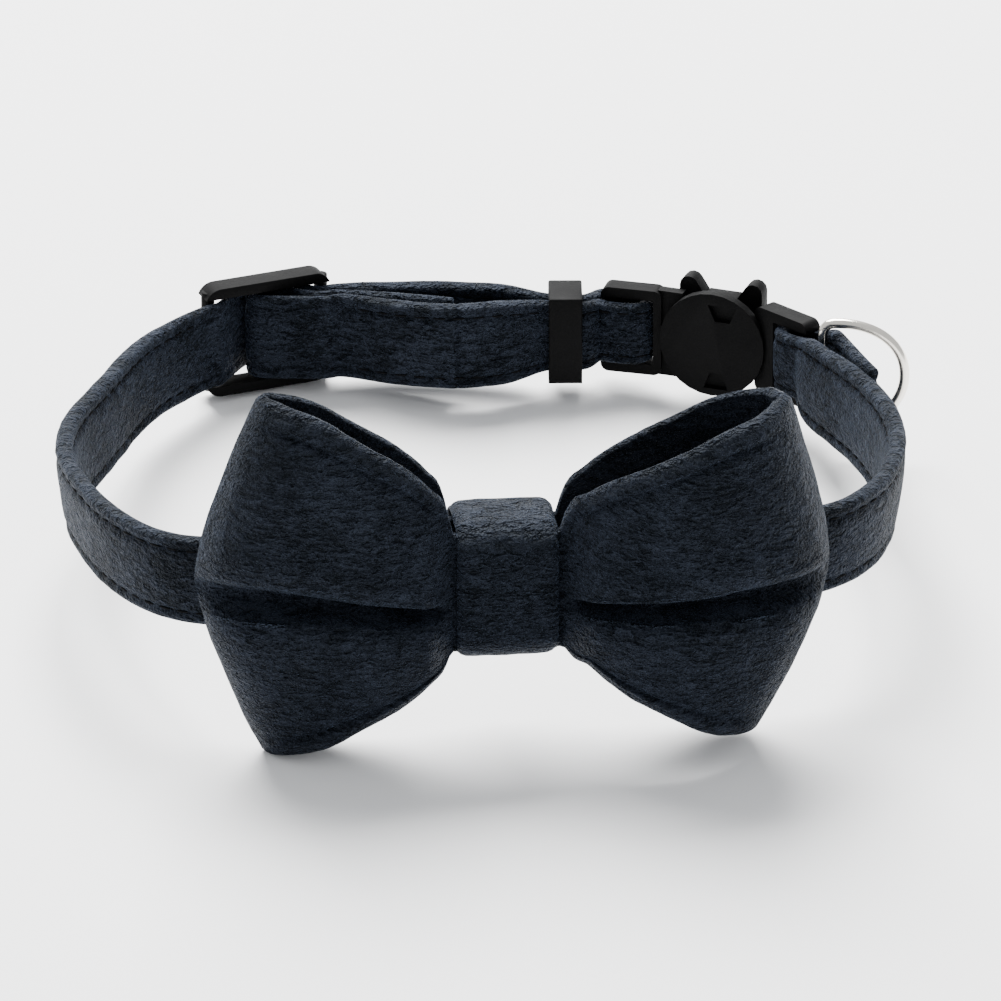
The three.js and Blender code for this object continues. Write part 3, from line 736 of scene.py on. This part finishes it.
def sew(name, guides, tree):
    """Stitches along several guide lines, each a row of points in the collar's own frame."""
    vertices, edges = [], []
    for guide in guides:
        first = len(vertices)
        vertices.extend(tuple(p) for p in on_table(guide))
        edges.extend((first + i, first + i + 1) for i in range(len(guide) - 1))
    mesh = bpy.data.meshes.new(name + "_guide")
    mesh.from_pydata(vertices, edges, [])
    guide = bpy.data.objects.new(name + "_guide", mesh)
    bpy.context.scene.collection.objects.link(guide)
    modifier = guide.modifiers.new("stitches", "NODES")
    modifier.node_group = tree
    for item in tree.interface.items_tree:
        if item.in_out == "INPUT" and item.name == "Thread":
            modifier[item.identifier] = navy_thread
    return add_piece(name, applied(guide, name), navy_thread)


def seam_guides():
    """The four seam lines of the strap, broken where the strap goes through a fitting."""
    length, line, side, outward = strap_frames()
    depth = np.interp(SEAM_AT, *np.array(STRAP_SECTION).T)
    guides = []
    for up, face in ((SEAM_AT, 1), (SEAM_AT, -1), (-SEAM_AT, 1), (-SEAM_AT, -1)):
        run = []
        for i in range(len(length) + 1):
            if i < len(length) and line[i, 2] > SEWN_THICK:
                across = face * (depth * line[i, 2] / 2 - STITCH_SINK)
                run.append(strap_point(line, side, outward, i, across, up))
                continue
            if len(run) >= SEWN_POINTS:
                guides.append(run)
            run = []
    return guides


strap_seams = sew("strap_stitches", seam_guides(), stitch_tree())


# Bow: one loop of cloth, seen as two wings with a deep fold across each front.

# Share of the wing from its root to its tip, how far its front stands out, how far its back
# does, and how far its height has grown from the pinch to the full wing.
WING = [
    (0, 0, 0, 0),
    (0.05, 0.1, 0, 0.2),
    (0.12, 0.26, 0, 0.31),
    (0.2, 0.45, 0, 0.42),
    (0.3, 0.68, 0, 0.53),
    (0.42, 0.86, 0, 0.635),
    (0.55, 0.97, 0, 0.745),
    (0.68, 1, 0, 0.86),
    (0.8, 0.95, 0.02, 0.93),
    (0.9, 0.82, 0.08, 0.965),
    (0.965, 0.64, 0.22, 0.99),
    (1, 0.45, 0.45, 1),
]
# Share of the wing's height from its lower edge, how far its front stands out there.
PLEAT = [
    (0, 0.35),
    (0.1, 0.6),
    (0.22, 0.85),
    (0.33, 1),
    (0.39, 0.95),
    (0.425, 0.7),
    (0.45, 0.15),
    (0.475, -0.15),
    (0.5, 0.0),
    (0.515, 0.55),
    (0.535, 0.92),
    (0.575, 1.06),
    (0.66, 0.95),
    (0.8, 0.8),
    (0.92, 0.55),
    (1, 0.35),
]
# Share of a wing where its front starts to turn round into its back.
FOLD_START = 0.8
strap_front = LEFT_SIDE[-1][1] * HALF_DEPTH - STRAP_THICK / 2
bow_back = strap_front - GAP
band_low = -GAP - KNOT_DROP - KNOT_WALL
band_middle = band_low + KNOT_HEIGHT / 2
bow_middle = STRAP_MIDDLE + BOW_LIFT
pinch_height = KNOT_HEIGHT / 2 - KNOT_WALL - GAP
wing_root = KNOT_WIDTH / 2 + GAP
BOW_ROWS = np.unique(np.concatenate([
    np.linspace(0, 0.08, 12),
    np.linspace(0.08, 0.92, 43),
    np.linspace(0.42, 0.56, 18),
    np.linspace(0.92, 1, 12),
]))
BOW_SHARES = np.concatenate([np.linspace(0, 0.9, 44)[:-1], np.linspace(0.9, 1, 12)])
# The hem at both edges of the cloth: a soft roll with a sewn groove beside it.
HEM_AT = 0.05
HEM_ROLL = 0.3
HEM_ROLL_WIDTH = 0.018
HEM_GROOVE = 0.32
HEM_GROOVE_WIDTH = 0.008
# How soon the pleat, the tuck and the hem reach their full depth, going out from the root.
PLEAT_RISE = 4
TUCK_RISE = 8
HEM_RISE = 6
# How sharply the wing's tip is cut back to its corners, and how soon its middle line rises.
CUT_BEND = 1.4
MIDDLE_BEND = 0.35
# Half the space left between the front and back walls of a wing where they are close.
HALF_APART = 0.15
# The rim between the two faces of the cloth: shares of the wall, and how far it bulges.
RIM_SHARES = (0.2, 0.5, 0.8)
RIM_LIFT = 0.5
# Crumples of the bow's cloth: height, size and seed.
BOW_CRUMPLE = [(0.128, 7.0, 11), (0.064, 2.6, 12), (0.04, 1.2, 13)]
# How long the bow's loop of cloth is and how far round its section is, for its UV map.
BOW_LENGTH = 150
BOW_ROUND = 90


def wing_sheet(side, front, inset):
    """One face of a wing, shares by rows of points, moved in by part of the wall."""
    wing = WINGS[side]
    share = BOW_SHARES[:, None]
    row = BOW_ROWS[None, :]
    swell = smooth_rows(WING, 1, share)
    front_out = BOW_PINCH * (1 - share) ** 2 + wing["depth"] * swell
    back_out = wing["depth"] * np.clip(smooth_rows(WING, 2, share), 0, 1)
    growth = np.clip(smooth_rows(WING, 3, share), 0, 1)
    half = pinch_height + (wing["height"] / 2 - pinch_height) * growth
    middle = band_middle + (bow_middle - band_middle) * growth**MIDDLE_BEND
    turned = np.clip((share - FOLD_START) / (1 - FOLD_START), 0, 1)
    fade = np.clip(PLEAT_RISE * swell, 0, 1) * np.sqrt(1 - turned**2)
    v = row - PLEAT_DROP * (1 - share) ** 2 * 4 * row * (1 - row)
    cut = np.where(v > 0.5, wing["top_cut"], wing["low_cut"])
    reach = wing["reach"] - cut * np.abs(2 * v - 1) ** CUT_BEND - wing_root
    tuck = wing["tuck"] * (1 - share) * np.clip(TUCK_RISE * share, 0, 1)
    tuck = tuck * np.clip(1 - 2 * v, 0, 1)
    bulge = smooth_rows(PLEAT, 1, row)
    wall = np.clip((front_out - back_out) / 2 - HALF_APART, 0, BOW_WALL)
    edge = np.minimum(row, 1 - row)
    groove = HEM_GROOVE * np.exp(-(((edge - HEM_AT) / HEM_GROOVE_WIDTH) ** 2))
    roll = HEM_ROLL * np.exp(-(((edge - HEM_AT / 2) / HEM_ROLL_WIDTH) ** 2))
    hem = (roll - groove) * (1 - inset) * np.clip(HEM_RISE * share, 0, 1) * (1 - turned)
    offset = front_out + PLEAT_DEPTH * bulge * fade + hem if front else back_out - hem
    into = (-wall if front else wall) * inset
    x = side * (wing_root + share * (reach - BOW_WALL * inset))
    y = bow_back - offset - into
    z = middle + (2 * v - 1) * half + tuck
    return np.stack(np.broadcast_arrays(x, y, z), -1)


def bow_loop(inset):
    """The whole loop of cloth at one depth of its wall, as rows of points."""
    return np.concatenate([
        wing_sheet(RIGHT, True, inset),
        wing_sheet(RIGHT, False, inset)[::-1][1:],
        wing_sheet(LEFT, False, inset)[:-1],
        wing_sheet(LEFT, True, inset)[::-1],
    ])


def rim(start, end, lift):
    """Rows of points from one face of the cloth to the other, round its edge."""
    rows = []
    for t in RIM_SHARES:
        bulge = np.array([0, 0, lift * math.sin(math.pi * t)])
        rows.append(start * (1 - t) + end * t + bulge)
    return np.stack(rows, 1)


def make_bow():
    """The bow's cloth with rounded rims at the top and the bottom."""
    outer, inner = bow_loop(0.0), bow_loop(1.0)
    ring = np.concatenate([
        outer,
        rim(outer[:, -1], inner[:, -1], RIM_LIFT),
        inner[:, ::-1],
        rim(inner[:, 0], outer[:, 0], -RIM_LIFT),
    ], 1)
    normal = np.cross(np.gradient(ring, axis=0), np.gradient(ring, axis=1))
    size = np.linalg.norm(normal, axis=2, keepdims=True)
    crumple = ripples(ring.reshape(-1, 3), BOW_CRUMPLE).reshape(size.shape)
    ring = ring + normal / np.maximum(size, 1e-6) * crumple
    steps = np.linspace(0, BOW_LENGTH, ring.shape[0])
    turns = np.linspace(0, BOW_ROUND, ring.shape[1])
    mesh = grid_mesh("bow_cloth", ring, True, True, (steps, turns))
    outward_faces(mesh)
    return mesh


bow = add_piece("bow_cloth", make_bow(), bow_velvet)
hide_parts("bow")


# Band round the middle of the bow and the strap.

# Share across the band from its middle to its edge, share of the wall that is left there.
BAND_WALL = [(0.0, 1.0), (0.5, 0.99), (0.8, 0.93), (0.93, 0.78), (1.0, 0.45)]
BAND_OUTSIDE = (
    1.0, 0.97, 0.9, 0.8, 0.6, 0.4, 0.2, 0.0, -0.2, -0.4, -0.6, -0.8, -0.9, -0.97, -1.0,
)
BAND_INSIDE = (-0.97, 0.0, 0.97)
BAND_CORNER = 3.6
BAND_POINTS = 120
CORNER_POINTS = 12
# Crumples of the band: height, size and seed, and how far it is drawn in.
BAND_CRUMPLE = [(0.14, 3.5, 21), (0.06, 1.3, 22)]
BAND_DRAWN = 0.12
# How far round the band's section is, for its UV map.
BAND_ROUND = 28


def rounded_loop(y0, y1, z0, z1, radius):
    """Points round an upright rectangle with round corners, and their distances along it."""
    points = []
    corners = (
        (y1 - radius, z0 + radius, -90),
        (y1 - radius, z1 - radius, 0),
        (y0 + radius, z1 - radius, 90),
        (y0 + radius, z0 + radius, 180),
    )
    for cy, cz, start in corners:
        for turn in np.radians(np.linspace(start, start + 90, CORNER_POINTS)):
            points.append((cy + radius * math.cos(turn), cz + radius * math.sin(turn)))
    return spaced(points, BAND_POINTS)


def make_band():
    """The folded velvet band: full in the middle, with soft rolled edges."""
    y0 = bow_back - BOW_PINCH - GAP
    y1 = strap_front + STRAP_THICK + GAP
    z0, z1 = band_low + KNOT_WALL, band_low + KNOT_HEIGHT - KNOT_WALL
    outer, length = rounded_loop(
        y0 - KNOT_WALL, y1 + KNOT_WALL, band_low, band_low + KNOT_HEIGHT, BAND_CORNER)
    inner, _ = rounded_loop(y0, y1, z0, z1, KNOT_WALL / 2)
    rows = []
    for share in BAND_OUTSIDE:
        wall = np.interp(abs(share), *np.array(BAND_WALL).T)
        yz = inner + (outer - inner) * wall
        rows.append(np.column_stack([np.full(len(yz), share * KNOT_WIDTH / 2), yz]))
    outside = np.array(rows)
    flat = outside.reshape(-1, 3)
    away = flat - np.array([0, (y0 + y1) / 2, (z0 + z1) / 2])
    away[:, 0] = 0
    away /= np.linalg.norm(away, axis=1)[:, None]
    moved = flat + away * (ripples(flat, BAND_CRUMPLE)[:, None] - BAND_DRAWN)
    inside = [
        np.column_stack([np.full(len(inner), share * KNOT_WIDTH / 2), inner])
        for share in BAND_INSIDE
    ]
    ring = np.concatenate([moved.reshape(outside.shape), inside])
    steps = np.linspace(0, BAND_ROUND, ring.shape[0])
    mesh = grid_mesh("band_cloth", ring, True, True, (steps, length))
    outward_faces(mesh)
    return mesh


band = add_piece("band_cloth", make_band(), band_velvet)
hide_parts("bow_knot")


# Plastic fittings: the CAD's own shapes with their edges rounded.

# Points closer than this are one, faces flatter than this are one, in metres and degrees.
SAME_POINT = 0.00001
SAME_FACE = 1.5
# Only edges sharper than this are rounded, and sharper than this they shade as sharp.
ROUND_OVER = 38
SHARP_OVER = 50


def round_edges(node, name, width):
    """A copy of a fitting with its edges rounded, which stands for it."""
    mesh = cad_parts[node].data.copy()
    work = bmesh.new()
    work.from_mesh(mesh)
    bmesh.ops.remove_doubles(work, verts=work.verts, dist=SAME_POINT)
    bmesh.ops.dissolve_limit(
        work, angle_limit=math.radians(SAME_FACE), verts=work.verts, edges=work.edges)
    work.to_mesh(mesh)
    work.free()
    piece = bpy.data.objects.new(name, mesh)
    bpy.context.scene.collection.objects.link(piece)
    bevel = piece.modifiers.new("edges", "BEVEL")
    bevel.width = width * MM
    bevel.segments = 3
    bevel.limit_method = "ANGLE"
    bevel.angle_limit = math.radians(ROUND_OVER)
    made = add_piece(name, applied(piece, name), black_plastic)
    made.data.set_sharp_from_angle(angle=math.radians(SHARP_OVER))
    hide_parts(node)


round_edges("slider", "slider_moulding", 0.05)
round_edges("keeper", "keeper_moulding", 0.25)
round_edges("buckle_plug", "plug_moulding", 0.18)
round_edges("buckle_head", "head_moulding", 0.22)


# Ring.

RING_POINTS = 160
WIRE_POINTS = 20


def make_ring():
    """A D of round wire, with its straight side in the fold of the strap's tail."""
    high = (RING_HEIGHT - RING_WIRE) / 2
    corner, reach = RING_CORNER, RING_REACH
    path = [(0, 0), (0, high - corner)]
    path += [(corner * s * s, high - corner * (1 - s) ** 2) for s in np.linspace(0, 1, 9)[1:]]
    curve = [(corner, high), (0.65 * reach, high), (reach, high * 0.6), (reach, 0)]
    for s in np.linspace(0, 1, 33)[1:]:
        w = ((1 - s) ** 3, 3 * s * (1 - s) ** 2, 3 * s * s * (1 - s), s**3)
        path.append(tuple(sum(w[k] * curve[k][c] for k in range(4)) for c in (0, 1)))
    path += [(x, -z) for x, z in path[-2:0:-1]]
    line, even = spaced(path, RING_POINTS)
    way = np.roll(line, -1, 0) - np.roll(line, 1, 0)
    way /= np.linalg.norm(way, axis=1)[:, None]
    base = tunnel.at(0, ring_out)
    turn = cmath.rect(1, math.radians(RING_ANGLE))
    turns = np.linspace(0, 2 * math.pi, WIRE_POINTS + 1)[:-1]
    points = np.zeros((len(line), len(turns), 3))
    for i, ((x, z), (wx, wz)) in enumerate(zip(line, way)):
        for j, a in enumerate(turns):
            sideways = RING_WIRE / 2 * math.cos(a)
            depth = RING_WIRE / 2 * math.sin(a)
            place = base + turn * complex(x + wz * sideways, depth)
            points[i, j] = (place.real, place.imag, STRAP_MIDDLE + z - wx * sideways)
    mesh = grid_mesh("ring_wire", points, True, True, (even, turns))
    outward_faces(mesh)
    return mesh


ring = add_piece("ring_wire", make_ring(), nickel, "ring")
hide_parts("d_ring")


# Floor, light and camera.

FLOOR_HALF = 6.0


def make_floor():
    """A wide pale floor, which isn't part of the collar."""
    mesh = bpy.data.meshes.new("floor")
    corners = [(x * FLOOR_HALF, y * FLOOR_HALF, 0) for x, y in ((-1, -1), (1, -1), (1, 1), (-1, 1))]
    mesh.from_pydata(corners, [], [(0, 1, 2, 3)])
    floor = bpy.data.objects.new("floor", mesh)
    bpy.context.scene.collection.objects.link(floor)
    material, shader, _, _ = new_material("pale_floor")
    shader.inputs["Base Color"].default_value = (0.97, 0.97, 0.97, 1)
    shader.inputs["Roughness"].default_value = 0.9
    shader.inputs["Specular IOR Level"].default_value = 0.1
    mesh.materials.append(material)


def add_light(name, place, aim, size, power):
    """A soft square lamp that looks at a point."""
    lamp = bpy.data.lights.new(name, "AREA")
    lamp.size = size
    lamp.energy = power
    lit = bpy.data.objects.new(name, lamp)
    bpy.context.scene.collection.objects.link(lit)
    lit.location = place
    lit.rotation_euler = (Vector(aim) - Vector(place)).to_track_quat("-Z", "Y").to_euler()


def make_lights():
    """A bright room with a large soft lamp above and behind."""
    world = bpy.data.worlds.new("studio")
    bpy.context.scene.world = world
    world.use_nodes = True
    sky = world.node_tree.nodes["Background"]
    sky.inputs["Color"].default_value = (0.95, 0.97, 1.0, 1)
    sky.inputs["Strength"].default_value = 0.9
    add_light("back", (-0.1, 0.8, 1.0), (0, 0, 0), 0.9, 85.0)


def make_camera():
    """The photograph's view, with the aim point on its own pixel."""
    around, above = math.radians(VIEW_AROUND), math.radians(VIEW_ABOVE)
    back = Vector((
        math.sin(around) * math.cos(above),
        -math.cos(around) * math.cos(above),
        math.sin(above),
    ))
    right = Vector((math.cos(around), math.sin(around), 0))
    up = back.cross(right)
    lean = Matrix.Rotation(LEAN, 3, "X")
    right, up, back = lean @ right, lean @ up, lean @ back
    aim = Vector(on_table(AIM))
    aim += right * ((PICTURE / 2 - AIM_PIXEL[0]) / PIXELS_PER_MM * MM)
    aim -= up * ((PICTURE / 2 - AIM_PIXEL[1]) / PIXELS_PER_MM * MM)
    camera_data = bpy.data.cameras.new("camera")
    camera_data.sensor_width = SENSOR
    camera_data.lens = SENSOR * PIXELS_PER_MM * VIEW_DISTANCE / PICTURE
    camera_data.clip_end = 20
    camera = bpy.data.objects.new("camera", camera_data)
    bpy.context.scene.collection.objects.link(camera)
    turn = Matrix((right, up, back)).transposed().to_4x4()
    camera.matrix_world = Matrix.Translation(aim + back * VIEW_DISTANCE * MM) @ turn
    bpy.context.scene.camera = camera


make_floor()
make_lights()
make_camera()
